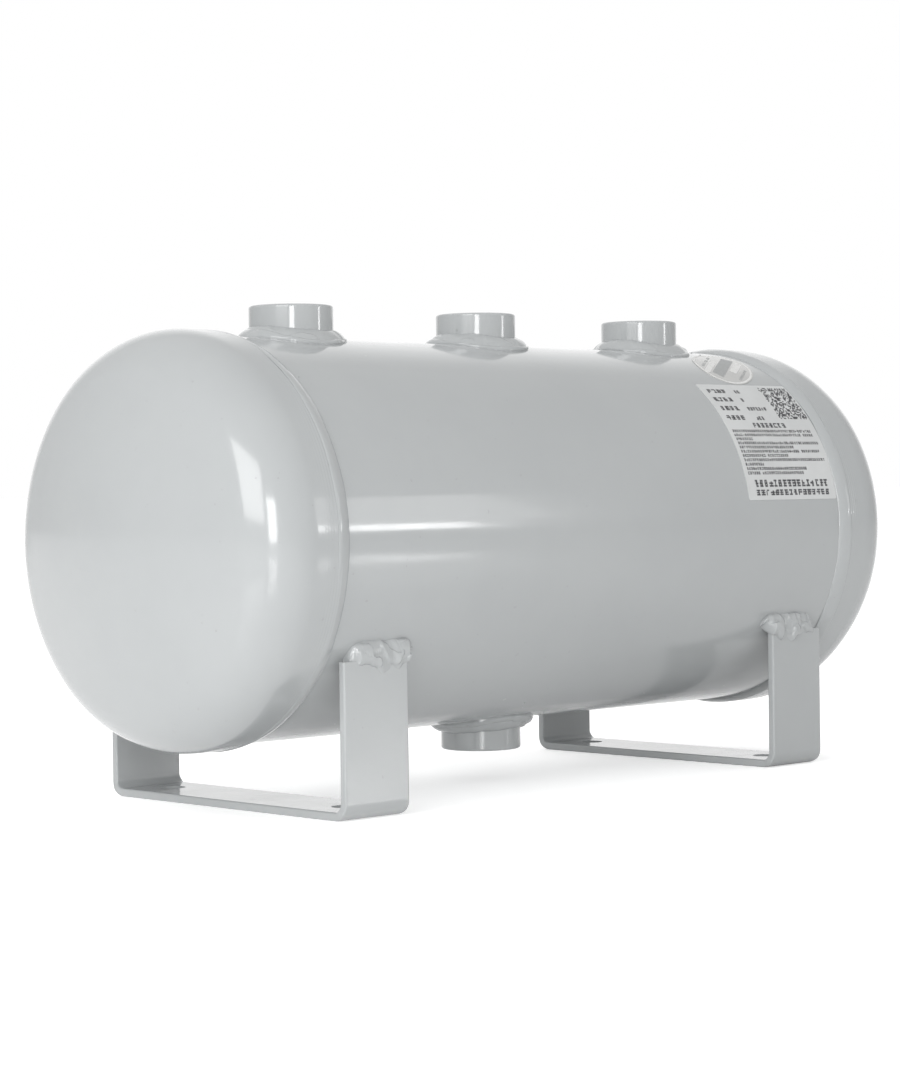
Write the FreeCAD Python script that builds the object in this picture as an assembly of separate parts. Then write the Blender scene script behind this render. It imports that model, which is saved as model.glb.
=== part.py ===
"""Horizontal air receiver tank: a rolled shell with two lapped dished heads, four threaded
bosses and two bent flat-bar feet, with every weld bead as its own piece.

Millimetres. X runs along the tank, the front is -Y, and the feet stand on Z = 0 with the
origin below the middle of the tank. Left is -X and right is +X.
"""
import FreeCAD, Part
import math
import os

Vector = FreeCAD.Vector
AXIS_X = Vector(1, 0, 0)
AXIS_Z = Vector(0, 0, 1)

# Shell
shell_diameter = 146.0
shell_wall = 2.0
shell_length = 296.0

# Seam bead of the rolled shell, on the back
seam_angle = 25.0  # degrees above the horizontal
seam_width = 5.0
seam_height = 0.8

# Heads, lapped over the shell's ends
head_wall = 1.8
head_fit = 0.1  # radial gap between flange and shell
head_lap = 10.0  # length of shell that each flange covers
shell_end_gap = 1.0  # from the shell's end to the start of the knuckle
knuckle_radius = 24.0  # outside
crown_radius = 178.0  # outside
head_weld_leg = 4.4  # along the shell

# Threaded bosses, G 1/2
port_to_head = 43.0  # from an outer port's axis to the head flange
boss_diameter = 31.0
boss_length = 16.0
boss_fit = 0.15  # radial gap between boss and shell hole
port_stand = 12.0  # height of a top boss above the shell
drain_stand = 11.0  # depth of the drain boss below the shell
thread_minor_diameter = 18.63
mouth_diameter = 22.0
mouth_depth = 1.2
boss_rim_round = 0.9
boss_weld_leg = 5.5  # along the shell
boss_weld_height = 4.0  # up the boss
boss_weld_lip = 0.6  # thickness left at the bead's two edges

# Bent flat-bar feet
bar_width = 30.0
bar_thickness = 3.0
bar_edge_round = 0.7
bend_inner_radius = 3.0
leg_inset = 7.5  # from the shell's side in to the leg's outer face
bar_to_head = 8.0  # from a foot's edge to the head flange
drain_clearance = 12.0  # from the mounting face to the drain boss
bolt_hole_diameter = 9.0
bolt_inset = 17.5  # from the leg's outer face to the bolt hole
leg_weld_length = 26.0
leg_weld_shift = 2.0  # of the bead along the bar, away from the head
leg_weld_drop = 3.5  # down the leg's outer face
leg_weld_rise = 8.5  # up the shell from the leg's end
leg_weld_bulge = 2.2

# Labels
label_thickness = 0.2
label_width = 55.0
label_height = 55.0  # round the shell
label_to_weld = 0.4
label_gap = 0.6  # between the two labels
oval_length = 38.0
oval_breadth = 26.0
oval_tilt = 35.0  # of its long axis, degrees
oval_inset = 22.0  # from the data label's right edge to the oval's middle
oval_to_port = 15.3  # from the port weld's edge to the oval's middle

# Worked out from the sizes above
shell_radius = shell_diameter / 2
axis_height = drain_clearance + drain_stand + shell_radius
flange_edge = shell_length / 2 - head_lap
head_inner_radius = shell_radius + head_fit
head_outer_radius = head_inner_radius + head_wall
tangent_line = flange_edge + head_lap + shell_end_gap
weld_toe = flange_edge - head_weld_leg
boss_radius = boss_diameter / 2
bracket_width = shell_diameter - 2 * leg_inset
bracket_offset = flange_edge - bar_to_head - bar_width / 2
leg_inner = bracket_width / 2 - bar_thickness
leg_top = axis_height - math.sqrt(shell_radius ** 2 - leg_inner ** 2)
port_spacing = flange_edge - port_to_head
boss_weld_toe = boss_radius + boss_weld_leg
label_right = weld_toe - label_to_weld
oval_half_height = math.hypot(
    oval_length / 2 * math.sin(math.radians(oval_tilt)), oval_breadth / 2 * math.cos(math.radians(oval_tilt))
)
oval_middle = label_right - oval_inset
oval_drop = math.sqrt((boss_weld_toe + oval_to_port) ** 2 - (oval_middle - port_spacing) ** 2)
oval_angle = 90 - math.degrees(oval_drop / shell_radius)
label_angle = oval_angle - math.degrees((oval_half_height + label_gap + label_height / 2) / shell_radius)

SIDES = {"left": -1, "right": 1}
PORTS = {"left": -port_spacing, "middle": 0.0, "right": port_spacing}
FACES = {"front": -1, "rear": 1}


def cylinder_along_x(radius, x_start, x_end):
    """A cylinder on the tank's axis."""
    return Part.makeCylinder(radius, x_end - x_start, Vector(x_start, 0, axis_height), AXIS_X)


def cylinder_along_z(radius, x, z_start, z_end):
    """An upright cylinder on a boss axis."""
    return Part.makeCylinder(radius, z_end - z_start, Vector(x, 0, z_start), AXIS_Z)


def tube_along_x(inner, outer, x_start, x_end):
    """A tube on the tank's axis."""
    return cylinder_along_x(outer, x_start, x_end).cut(cylinder_along_x(inner, x_start, x_end))


def mirror_left(shape):
    """The copy of a right-hand piece for the left-hand end."""
    return shape.mirror(Vector(0, 0, 0), AXIS_X)


def for_side(shape, side):
    """The piece itself for the right-hand end, its mirror image for the left-hand one."""
    return shape if side > 0 else mirror_left(shape)


def boss_span(stand):
    """Heights above the tank's axis of a boss's inner and outer ends."""
    outer = shell_radius + stand
    return outer - boss_length, outer


def turned_down(shape):
    """A top piece turned half round about the tank's axis, to point down."""
    turned = shape.copy()
    turned.rotate(Vector(0, 0, axis_height), AXIS_X, 180)
    return turned


def make_shell():
    """The rolled tube, with a hole for each boss."""
    shell = tube_along_x(shell_radius - shell_wall, shell_radius, -shell_length / 2, shell_length / 2)
    hole_radius = boss_radius + boss_fit
    for x in PORTS.values():
        shell = shell.cut(cylinder_along_z(hole_radius, x, axis_height, axis_height + shell_diameter))
    return shell.cut(cylinder_along_z(hole_radius, 0, axis_height - shell_diameter, axis_height))


def make_seam_weld():
    """The low bead along the shell's seam, between the two head welds."""
    half_angle = math.asin(seam_width / 2 / shell_radius)
    crown = shell_radius + seam_height
    edge_y = shell_radius * math.cos(half_angle)
    edge_z = shell_radius * math.sin(half_angle)
    cap = Part.Arc(Vector(0, edge_y, -edge_z), Vector(0, crown, 0), Vector(0, edge_y, edge_z))
    root = Part.Arc(Vector(0, edge_y, edge_z), Vector(0, shell_radius, 0), Vector(0, edge_y, -edge_z))
    section = Part.Face(Part.Wire([cap.toShape(), root.toShape()]))
    bead = section.extrude(Vector(2 * weld_toe, 0, 0))
    bead.rotate(Vector(0, 0, 0), AXIS_X, seam_angle)
    bead.translate(Vector(-weld_toe, 0, axis_height))
    return bead


def head_outline(outer_radius, knuckle, crown):
    """Edges of one face of a right-hand head, from the flange's edge to the pole."""
    knuckle_height = outer_radius - knuckle
    crown_centre = tangent_line - math.sqrt((crown - knuckle) ** 2 - knuckle_height ** 2)
    slope = math.asin(knuckle_height / (crown - knuckle))

    def on_knuckle(angle):
        return Vector(tangent_line + knuckle * math.cos(angle), 0, knuckle_height + knuckle * math.sin(angle))

    def on_crown(angle):
        return Vector(crown_centre + crown * math.cos(angle), 0, crown * math.sin(angle))

    edge = Vector(flange_edge, 0, outer_radius)
    start = Vector(tangent_line, 0, outer_radius)
    straight = Part.LineSegment(edge, start)
    round_corner = Part.Arc(start, on_knuckle((math.pi / 2 + slope) / 2), on_crown(slope))
    dish = Part.Arc(on_crown(slope), on_crown(slope / 2), on_crown(0))
    return [piece.toShape() for piece in (straight, round_corner, dish)]


def make_right_head():
    """The dished head, turned about the tank's axis."""
    outside = head_outline(head_outer_radius, knuckle_radius, crown_radius)
    inside = head_outline(head_inner_radius, knuckle_radius - head_wall, crown_radius - head_wall)
    rim = Part.makeLine(inside[0].firstVertex().Point, outside[0].firstVertex().Point)
    pole = Part.makeLine(inside[-1].lastVertex().Point, outside[-1].lastVertex().Point)
    section = Part.Face(Part.Wire(Part.__sortEdges__(outside + inside + [rim, pole])))
    head = section.revolve(Vector(0, 0, 0), AXIS_X, 360)
    head.translate(Vector(0, 0, axis_height))
    return head


def make_right_head_weld():
    """The lap bead in the corner between the flange's edge and the shell."""
    toe = Vector(weld_toe, 0, shell_radius)
    root = Vector(flange_edge, 0, shell_radius)
    top = Vector(flange_edge, 0, head_outer_radius)
    middle = (toe + top) * 0.5
    outward = Vector(toe.z - top.z, 0, top.x - toe.x).normalize()
    face = Part.Arc(top, middle + outward * (head_wall / 8), toe)
    edges = [Part.makeLine(toe, root), Part.makeLine(root, top), face.toShape()]
    bead = Part.Face(Part.Wire(edges)).revolve(Vector(0, 0, 0), AXIS_X, 360)
    bead.translate(Vector(0, 0, axis_height))
    return bead


def make_top_boss(x, stand):
    """An upright boss with its thread's bore, its mouth and its rounded rim."""
    low, high = (axis_height + level for level in boss_span(stand))
    body = cylinder_along_z(boss_radius, x, low, high)
    rim = [edge for edge in body.Edges if edge.BoundBox.ZMin > high - 0.01 and edge.Closed]
    body = body.makeFillet(boss_rim_round, rim)
    bore = cylinder_along_z(thread_minor_diameter / 2, x, low, high)
    mouth = Part.makeCone(
        thread_minor_diameter / 2, mouth_diameter / 2, mouth_depth, Vector(x, 0, high - mouth_depth), AXIS_Z
    )
    return body.cut(bore).cut(mouth)


def make_top_boss_weld(x):
    """The bead round a boss: a ring of even thickness on the shell, its outer edge taken off."""
    ring = cylinder_along_z(boss_weld_toe, x, axis_height, axis_height + shell_diameter)
    ring = ring.cut(cylinder_along_z(boss_radius, x, axis_height, axis_height + shell_diameter))
    layer = tube_along_x(shell_radius, shell_radius + boss_weld_height, x - boss_diameter, x + boss_diameter)
    ring = ring.common(layer).Solids[0]

    def is_outer_top(edge):
        point = edge.valueAt((edge.FirstParameter + edge.LastParameter) / 2)
        from_boss = math.hypot(point.x - x, point.y)
        from_axis = math.hypot(point.y, point.z - axis_height)
        above = from_axis > shell_radius + boss_weld_height - 0.01
        return above and from_boss > boss_weld_toe - 0.01

    corner = [edge for edge in ring.Edges if is_outer_top(edge)]
    return ring.makeChamfer(boss_weld_height - boss_weld_lip, boss_weld_leg - boss_weld_lip, corner)


def bracket_section():
    """The bent bar's outline across the tank: out along its outer face, back along its inner one."""
    outer_bend = bend_inner_radius + bar_thickness
    half = bracket_width / 2

    def bend(side, radius):
        centre = Vector(0, side * (half - outer_bend), outer_bend)
        diagonal = radius * math.sqrt(0.5)
        upper = centre + Vector(0, side * radius, 0)
        middle = centre + Vector(0, side * diagonal, -diagonal)
        lower = centre + Vector(0, 0, -radius)
        return upper, middle, lower

    def face(leg, radius):
        start = Vector(0, -leg, leg_top)
        end = Vector(0, leg, leg_top)
        front_upper, front_middle, front_lower = bend(-1, radius)
        rear_upper, rear_middle, rear_lower = bend(1, radius)
        pieces = [
            Part.LineSegment(start, front_upper),
            Part.Arc(front_upper, front_middle, front_lower),
            Part.LineSegment(front_lower, rear_lower),
            Part.Arc(rear_lower, rear_middle, rear_upper),
            Part.LineSegment(rear_upper, end),
        ]
        return [piece.toShape() for piece in pieces]

    ends = [
        Part.makeLine(Vector(0, side * leg_inner, leg_top), Vector(0, side * half, leg_top)) for side in (-1, 1)
    ]
    edges = face(half, outer_bend) + face(leg_inner, bend_inner_radius) + ends
    return Part.Face(Part.Wire(Part.__sortEdges__(edges)))


def make_right_bracket():
    """The foot bent from flat bar, with its two bolt holes."""
    bar = bracket_section().extrude(Vector(bar_width, 0, 0))
    bar.translate(Vector(bracket_offset - bar_width / 2, 0, 0))
    long_edges = [edge for edge in bar.Edges if edge.BoundBox.XLength < 0.01 and not is_leg_end(edge)]
    bar = bar.makeFillet(bar_edge_round, long_edges)
    for side in FACES.values():
        y = side * (bracket_width / 2 - bolt_inset)
        hole = Part.makeCylinder(bolt_hole_diameter / 2, 3 * bar_thickness, Vector(bracket_offset, y, -bar_thickness))
        bar = bar.cut(hole)
    return bar


def is_leg_end(edge):
    """True for the short edges across the ends of a foot's legs."""
    return edge.BoundBox.ZMin > leg_top - 0.01


def make_right_leg_weld(side):
    """The bead that fills the wedge between a leg's end and the shell, and laps onto both."""
    outer = bracket_width / 2
    corners = [
        (shell_radius * 0.75, leg_top),
        (outer, leg_top),
        (outer, leg_top - leg_weld_drop),
        (outer + leg_weld_bulge * 0.7, leg_top - leg_weld_drop / 2),
        (outer + leg_weld_bulge, leg_top + leg_weld_rise / 3),
        (math.sqrt(shell_radius ** 2 - (axis_height - leg_top - leg_weld_rise) ** 2), leg_top + leg_weld_rise),
        (shell_radius * 0.75, leg_top + leg_weld_rise),
    ]
    points = [Vector(0, side * y, z) for y, z in corners]
    section = Part.Face(Part.makePolygon(points + points[:1]))
    bead = section.extrude(Vector(leg_weld_length, 0, 0))
    bead.translate(Vector(bracket_offset - leg_weld_shift - leg_weld_length / 2, 0, 0))
    return bead.cut(cylinder_along_x(shell_radius, -shell_length / 2, shell_length / 2))


def label_patch(x_start, x_end, low_angle, high_angle):
    """A thin patch on the front of the shell, between two angles above the horizontal."""
    layer = tube_along_x(shell_radius, shell_radius + label_thickness, x_start, x_end)
    corners = [Vector(x_start, 0, axis_height)]
    for angle in (low_angle, (low_angle + high_angle) / 2, high_angle):
        turn = math.radians(angle)
        corners.append(corners[0] + Vector(0, -math.cos(turn), math.sin(turn)) * shell_diameter)
    wedge = Part.Face(Part.makePolygon(corners + corners[:1])).extrude(Vector(x_end - x_start, 0, 0))
    return layer.common(wedge).Solids[0]


def make_data_label():
    """The rectangular sticker beside the right-hand head."""
    half_angle = math.degrees(label_height / 2 / shell_radius)
    return label_patch(label_right - label_width, label_right, label_angle - half_angle, label_angle + half_angle)


def make_oval_label():
    """The small tilted oval sticker above the data label."""
    reach = math.degrees(oval_length / shell_radius)
    patch = label_patch(oval_middle - oval_length, oval_middle + oval_length, oval_angle - reach, oval_angle + reach)
    outline = Part.Wire(Part.Ellipse(Vector(0, 0, 0), oval_length / 2, oval_breadth / 2).toShape())
    cutter = Part.Face(outline).extrude(Vector(0, 0, shell_diameter))
    cutter.rotate(Vector(0, 0, 0), AXIS_Z, oval_tilt)
    cutter.rotate(Vector(0, 0, 0), AXIS_X, 90 - oval_angle)
    cutter.translate(Vector(oval_middle, 0, axis_height))
    return patch.common(cutter).Solids[0]


def make_pieces():
    """Every piece of the tank by its name."""
    pieces = {"shell": make_shell(), "shell_seam_weld": make_seam_weld()}
    for name, side in SIDES.items():
        pieces[f"{name}_head"] = for_side(make_right_head(), side)
        pieces[f"{name}_head_weld"] = for_side(make_right_head_weld(), side)
        pieces[f"{name}_bracket"] = for_side(make_right_bracket(), side)
        for face, direction in FACES.items():
            pieces[f"{name}_bracket_{face}_weld"] = for_side(make_right_leg_weld(direction), side)
    for name, x in PORTS.items():
        pieces[f"{name}_port_boss"] = make_top_boss(x, port_stand)
        pieces[f"{name}_port_weld"] = make_top_boss_weld(x)
    pieces["drain_boss"] = turned_down(make_top_boss(0, drain_stand))
    pieces["drain_weld"] = turned_down(make_top_boss_weld(0))
    pieces["data_label"] = make_data_label()
    pieces["oval_label"] = make_oval_label()
    return pieces


os.makedirs("parts", exist_ok=True)
for name, shape in make_pieces().items():
    if not shape.isValid():
        raise ValueError(f"{name} is not a valid solid")
    shape.exportStep(f"parts/{name}.step")
    print(f"{name}: {len(shape.Solids)} solid, {shape.Volume:.1f} mm3")
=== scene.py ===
import math
import random

import bmesh
import bpy
import numpy as np
from mathutils import Matrix, Vector


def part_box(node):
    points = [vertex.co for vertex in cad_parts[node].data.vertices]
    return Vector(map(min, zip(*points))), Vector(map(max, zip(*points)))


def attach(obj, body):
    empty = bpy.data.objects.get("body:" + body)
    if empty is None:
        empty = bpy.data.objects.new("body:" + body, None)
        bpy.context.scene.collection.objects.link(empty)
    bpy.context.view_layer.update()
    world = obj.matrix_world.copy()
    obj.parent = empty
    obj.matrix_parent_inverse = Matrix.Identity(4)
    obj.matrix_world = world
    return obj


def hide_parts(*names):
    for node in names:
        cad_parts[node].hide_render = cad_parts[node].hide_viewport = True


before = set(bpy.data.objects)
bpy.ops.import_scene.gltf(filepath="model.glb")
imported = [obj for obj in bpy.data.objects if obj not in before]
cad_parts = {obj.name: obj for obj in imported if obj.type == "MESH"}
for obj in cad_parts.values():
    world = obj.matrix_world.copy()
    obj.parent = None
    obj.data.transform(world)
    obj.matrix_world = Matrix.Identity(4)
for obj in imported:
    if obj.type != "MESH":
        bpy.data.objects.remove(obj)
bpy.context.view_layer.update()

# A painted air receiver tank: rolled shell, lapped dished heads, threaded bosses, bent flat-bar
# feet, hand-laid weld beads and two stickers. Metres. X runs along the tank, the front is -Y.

MM = 0.001
TURN = 2 * math.pi

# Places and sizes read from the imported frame
head_low, head_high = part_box("right_head")
shell_low, shell_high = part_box("shell")
head_weld_low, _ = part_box("right_head_weld")
bracket_low, bracket_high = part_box("right_bracket")
leg_weld_low, leg_weld_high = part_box("right_bracket_front_weld")
port_low, port_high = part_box("middle_port_boss")
seam_low, seam_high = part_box("shell_seam_weld")
label_low, label_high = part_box("data_label")
oval_low, oval_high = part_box("oval_label")

HEAD_RADIUS = (head_high.z - head_low.z) / 2
AXIS_HEIGHT = (head_high.z + head_low.z) / 2
FLANGE_EDGE = head_low.x
POLE = head_high.x
SHELL_END = shell_high.x
SHELL_RADIUS = (shell_high.y - shell_low.y) / 2
WELD_TOE = head_weld_low.x
BOSS_RADIUS = (port_high.y - port_low.y) / 2
LEG_TOP = bracket_high.z
LEG_FACE = bracket_high.y
BAR_MIDDLE = (bracket_low.x + bracket_high.x) / 2
BAR_WIDTH = bracket_high.x - bracket_low.x

# Sizes that a box doesn't give
SHELL_WALL = 2.0 * MM
HEAD_WALL = 1.8 * MM
KNUCKLE = 24.0 * MM
TANGENT_GAP = 1.0 * MM  # from the shell's end to the start of the knuckle
BAR_THICKNESS = 3.0 * MM
BAR_EDGE_ROUND = 0.7 * MM
LEG_CUT = LEG_TOP - 3.4 * MM  # the leg's end, under its weld
BEND_RADIUS = 4.5 * MM  # of the bar's middle line
BAR_BURR = 0.22 * MM  # softening of the bar's cut edges
BEND_FLARE = 0.35 * MM  # how far a bend's corners spread sideways
BOLT_HOLE = 4.5 * MM
BOLT_INSET = 17.5 * MM  # from the leg's outer face
BOSS_RIM_ROUND = 0.9 * MM
BOSS_FIT = 0.15 * MM  # radial gap between a boss and its hole in the shell
MOUTH_RADIUS = 11.0 * MM
MOUTH_DEPTH = 1.2 * MM
THREAD_MINOR = 9.315 * MM
THREAD_DEPTH = 1.16 * MM
THREAD_PITCH = 1.814 * MM
BOSS_WELD_REACH = 5.0 * MM  # out over the shell
BOSS_WELD_RISE = 4.0 * MM  # up the boss
SEAM_WIDTH = 5.0 * MM
LABEL_THICKNESS = 0.2 * MM
LABEL_SINK = 0.05 * MM  # of a sticker's back into the shell
LABEL_CORNER = 0.8 * MM
INK_STAND = 0.012 * MM  # of the middle of the print over the sticker's face
INK_THICKNESS = 0.05 * MM
OVAL_LONG = 19.0 * MM
OVAL_SHORT = 13.0 * MM
OVAL_TILT = math.radians(35)

SIDES = {"left": -1, "right": 1}
FACES = {"front": -1, "rear": 1}
PORTS = {"left_port": 1, "middle_port": 1, "right_port": 1, "drain": -1}


# ---------------------------------------------------------------- node trees written as sums

class Field:
    """A socket of a tree being built, so that a formula reads as it would on paper."""

    def __init__(self, tree, socket):
        self.tree = tree
        self.socket = socket

    def math(self, operation, *others):
        inputs = dict(enumerate((self, *others)))
        made = add_node(self.tree, "ShaderNodeMath", {"operation": operation}, inputs)
        return Field(self.tree, made.outputs[0])

    def vector(self, operation, *others):
        inputs = dict(enumerate((self, *others)))
        made = add_node(self.tree, "ShaderNodeVectorMath", {"operation": operation}, inputs)
        return Field(self.tree, made.outputs["Vector"])

    def scaled(self, factor):
        made = add_node(self.tree, "ShaderNodeVectorMath", {"operation": "SCALE"}, {0: self, "Scale": factor})
        return Field(self.tree, made.outputs["Vector"])

    def ramp(self, low, high, to_low=0.0, to_high=1.0, smooth=True):
        """Runs from to_low to to_high while this field runs from low to high."""
        settings = {"interpolation_type": "SMOOTHSTEP" if smooth else "LINEAR"}
        inputs = {0: self, 1: low, 2: high, 3: to_low, 4: to_high}
        made = add_node(self.tree, "ShaderNodeMapRange", settings, inputs)
        return Field(self.tree, made.outputs[0])

    def parts(self):
        made = add_node(self.tree, "ShaderNodeSeparateXYZ", {}, {0: self})
        return [Field(self.tree, out) for out in made.outputs]

    def flipped(self):
        """1 less this field."""
        return self * -1 + 1

    def inverse(self):
        """1 over this field."""
        return (self * 0 + 1) / self

    def __add__(self, other):
        return self.math("ADD", other)

    def __sub__(self, other):
        return self.math("SUBTRACT", other)

    def __mul__(self, other):
        return self.math("MULTIPLY", other)

    def __truediv__(self, other):
        return self.math("DIVIDE", other)

    def __pow__(self, other):
        return self.math("POWER", other)


def put(tree, socket, value):
    """Wires a field into a socket, or types a plain value into it."""
    if isinstance(value, Field):
        tree.links.new(value.socket, socket)
    else:
        socket.default_value = value


def add_node(tree, kind, settings, inputs):
    """A new node with its settings and its inputs filled in."""
    made = tree.nodes.new(kind)
    for label, value in settings.items():
        setattr(made, label, value)
    for label, value in inputs.items():
        put(tree, made.inputs[label], value)
    return made


def combine(tree, x, y, z):
    return Field(tree, add_node(tree, "ShaderNodeCombineXYZ", {}, {0: x, 1: y, 2: z}).outputs[0])


def noise(tree, place, scale, detail=2.0, rough=0.5, seed=0.0):
    """A soft random field from 0 to 1. One unit of scale is one blotch to the metre."""
    settings = {"noise_dimensions": "4D"}
    inputs = {"Vector": place, "W": seed, "Scale": scale, "Detail": detail, "Roughness": rough}
    made = add_node(tree, "ShaderNodeTexNoise", settings, inputs)
    return Field(tree, made.outputs[0])


def named(tree, label, kind="FLOAT"):
    """A value kept on the points under a name."""
    made = add_node(tree, "GeometryNodeInputNamedAttribute", {"data_type": kind}, {"Name": label})
    return Field(tree, made.outputs["Attribute"])


def new_tree(name, inputs):
    """A geometry tree with named inputs. Returns the tree and its inputs as fields."""
    tree = bpy.data.node_groups.new(name, "GeometryNodeTree")
    tree.interface.new_socket("Geometry", in_out="INPUT", socket_type="NodeSocketGeometry")
    for label, (kind, value) in inputs.items():
        socket = tree.interface.new_socket(label, in_out="INPUT", socket_type="NodeSocket" + kind)
        if value is not None:
            socket.default_value = value
    tree.interface.new_socket("Geometry", in_out="OUTPUT", socket_type="NodeSocketGeometry")
    source = tree.nodes.new("NodeGroupInput")
    return tree, {out.name: Field(tree, out) for out in source.outputs if out.name}


def close_tree(tree, geometry, material):
    """Ends a tree: instances become real and the finish is put on."""
    real = add_node(tree, "GeometryNodeRealizeInstances", {}, {"Geometry": geometry})
    inputs = {"Geometry": Field(tree, real.outputs[0]), "Material": material}
    painted = add_node(tree, "GeometryNodeSetMaterial", {}, inputs)
    end = tree.nodes.new("NodeGroupOutput")
    tree.links.new(painted.outputs[0], end.inputs["Geometry"])


def grow(host, tree, values):
    """Runs a tree on an object and leaves the result in it as a plain mesh."""
    modifier = host.modifiers.new(tree.name, "NODES")
    modifier.node_group = tree
    ids = {item.name: item.identifier for item in tree.interface.items_tree if item.in_out == "INPUT"}
    for label, value in values.items():
        modifier[ids[label]] = value
    graph = bpy.context.evaluated_depsgraph_get()
    mesh = bpy.data.meshes.new_from_object(host.evaluated_get(graph), depsgraph=graph)
    host.modifiers.remove(modifier)
    host.data = mesh
    return host


# ---------------------------------------------------------------- meshes

def new_object(name, points, edges, faces):
    """A new mesh object at the origin."""
    mesh = bpy.data.meshes.new(name)
    mesh.from_pydata([tuple(p) for p in points], edges, faces)
    mesh.update()
    made = bpy.data.objects.new(name, mesh)
    bpy.context.scene.collection.objects.link(made)
    return made


def store(made, label, values):
    """Keeps one number or vector for each point of a mesh."""
    values = np.asarray(values, np.float32)
    vector = values.ndim == 2
    layer = made.data.attributes.new(label, "FLOAT_VECTOR" if vector else "FLOAT", "POINT")
    layer.data.foreach_set("vector" if vector else "value", values.ravel())


STORED = {"step", "toe_low", "toe_high", "outward", "crown", "lap", "along", "lift", "thread",
          "middle", "wide", "thick", "flare", "size", "mark_size"}


def drop_stored(mesh):
    """Removes what the trees kept on the points, which the finished piece doesn't need."""
    stored = [a.name for a in mesh.attributes if a.domain == "POINT" and a.name in STORED]
    for label in stored:
        mesh.attributes.remove(mesh.attributes[label])


def turned(name, outline, segments, place):
    """Turns an outline of (radius, along) points round an axis. A point on the axis makes a pole."""
    points, rings, faces = [], [], []
    closed = outline[0][0] > 0
    for radius, along in outline:
        count = segments if radius > 0 else 1
        rings.append([len(points) + k for k in range(count)])
        points += [place(radius, along, TURN * k / segments) for k in range(count)]
    for first, second in zip(rings, rings[1:] + rings[:1] if closed else rings[1:]):
        for k in range(segments):
            loop = [first[k % len(first)], first[(k + 1) % len(first)]]
            loop += [second[(k + 1) % len(second)], second[k % len(second)]]
            faces.append(tuple(dict.fromkeys(loop)))
    return new_object(name, points, [], faces)


def face_outward(made, merge=0.0):
    """Merges doubles and turns every face of a closed mesh outwards."""
    work = bmesh.new()
    work.from_mesh(made.data)
    if merge:
        bmesh.ops.remove_doubles(work, verts=work.verts, dist=merge)
        bmesh.ops.dissolve_degenerate(work, edges=work.edges, dist=merge)
    bmesh.ops.recalc_face_normals(work, faces=work.faces)
    work.to_mesh(made.data)
    work.free()


def shade(made, sharp=math.radians(32)):
    made.data.shade_smooth()
    made.data.set_sharp_from_angle(angle=sharp)


def arc(centre, radius, start, end, steps):
    """Points (across, up) of an arc, both ends included."""
    turns = [start + (end - start) * k / steps for k in range(steps + 1)]
    return [(centre[0] + radius * math.cos(t), centre[1] + radius * math.sin(t)) for t in turns]


def keep_piece(made, name, material, slot, *nodes):
    """Hands a finished piece over to the frame."""
    made.name = name
    made.data.name = name
    drop_stored(made.data)
    if material:
        made.data.materials.clear()
        made.data.materials.append(material)
    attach(made, "root")
    if nodes:
        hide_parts(*nodes)
    return made


# ---------------------------------------------------------------- finishes

GREY_LIGHT = (0.400, 0.414, 0.418, 1.0)
GREY_DARK = (0.385, 0.399, 0.404, 1.0)
DUST_GREY = (0.16, 0.16, 0.155, 1.0)
BRIGHT_STEEL = (0.42, 0.42, 0.43, 1.0)
DULL_STEEL = (0.27, 0.26, 0.25, 1.0)


def new_material(name):
    """A material, its tree, its shader and the place on the object as a field."""
    material = bpy.data.materials.new(name)
    material.use_nodes = True
    tree = material.node_tree
    shader = tree.nodes["Principled BSDF"]
    coordinates = tree.nodes.new("ShaderNodeTexCoord")
    return material, tree, shader, Field(tree, coordinates.outputs["Object"])


def blend_colours(tree, amount, first, second):
    settings = {"data_type": "RGBA"}
    made = add_node(tree, "ShaderNodeMix", settings, {0: amount, 6: first, 7: second})
    return Field(tree, made.outputs[2])


def bump(tree, height, depth):
    made = add_node(tree, "ShaderNodeBump", {}, {"Strength": 1.0, "Distance": depth, "Height": height})
    return Field(tree, made.outputs["Normal"])


def enamel(name, gloss, peel, wave, turning=0.0):
    """Sprayed grey enamel: cloudy colour, orange peel, slow waves in the sheet and dust nibs.

    peel, wave and turning are heights in millimetres."""
    material, tree, shader, place = new_material(name)
    cloud = noise(tree, place, 16.0, 4.0, 0.6, 1.0)
    colour = blend_colours(tree, cloud.ramp(0.3, 0.7), GREY_LIGHT, GREY_DARK)
    dust = noise(tree, place, 520.0, 1.0, 0.5, 4.0)
    speck = dust.ramp(0.74, 0.80)
    colour = blend_colours(tree, speck * 0.35, colour, DUST_GREY)
    put(tree, shader.inputs["Base Color"], colour)
    smear = noise(tree, place, 42.0, 5.0, 0.65, 2.0)
    roughness = smear.ramp(0.25, 0.75, gloss - 0.035, gloss + 0.045) + speck * 0.2
    put(tree, shader.inputs["Roughness"], roughness)
    shader.inputs["IOR"].default_value = 1.5
    shader.inputs["Coat Weight"].default_value = 0.35
    shader.inputs["Coat Roughness"].default_value = 0.06
    fine = noise(tree, place, 620.0, 2.0, 0.5, 3.0)
    broad = noise(tree, place, 150.0, 2.0, 0.5, 5.0)
    sheet = noise(tree, place, 30.0, 2.0, 0.45, 6.0)
    height = fine * peel + broad * (peel * 2.2) + sheet * wave + speck * 0.02
    if turning:  # faint rings that the lathe tool leaves
        bands = noise(tree, place.vector("MULTIPLY", (0.06, 0.06, 1.0)), 600.0, 1.0, 0.5, 10.0)
        height = height + bands * turning
    put(tree, shader.inputs["Normal"], bump(tree, height, MM))
    return material


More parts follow.
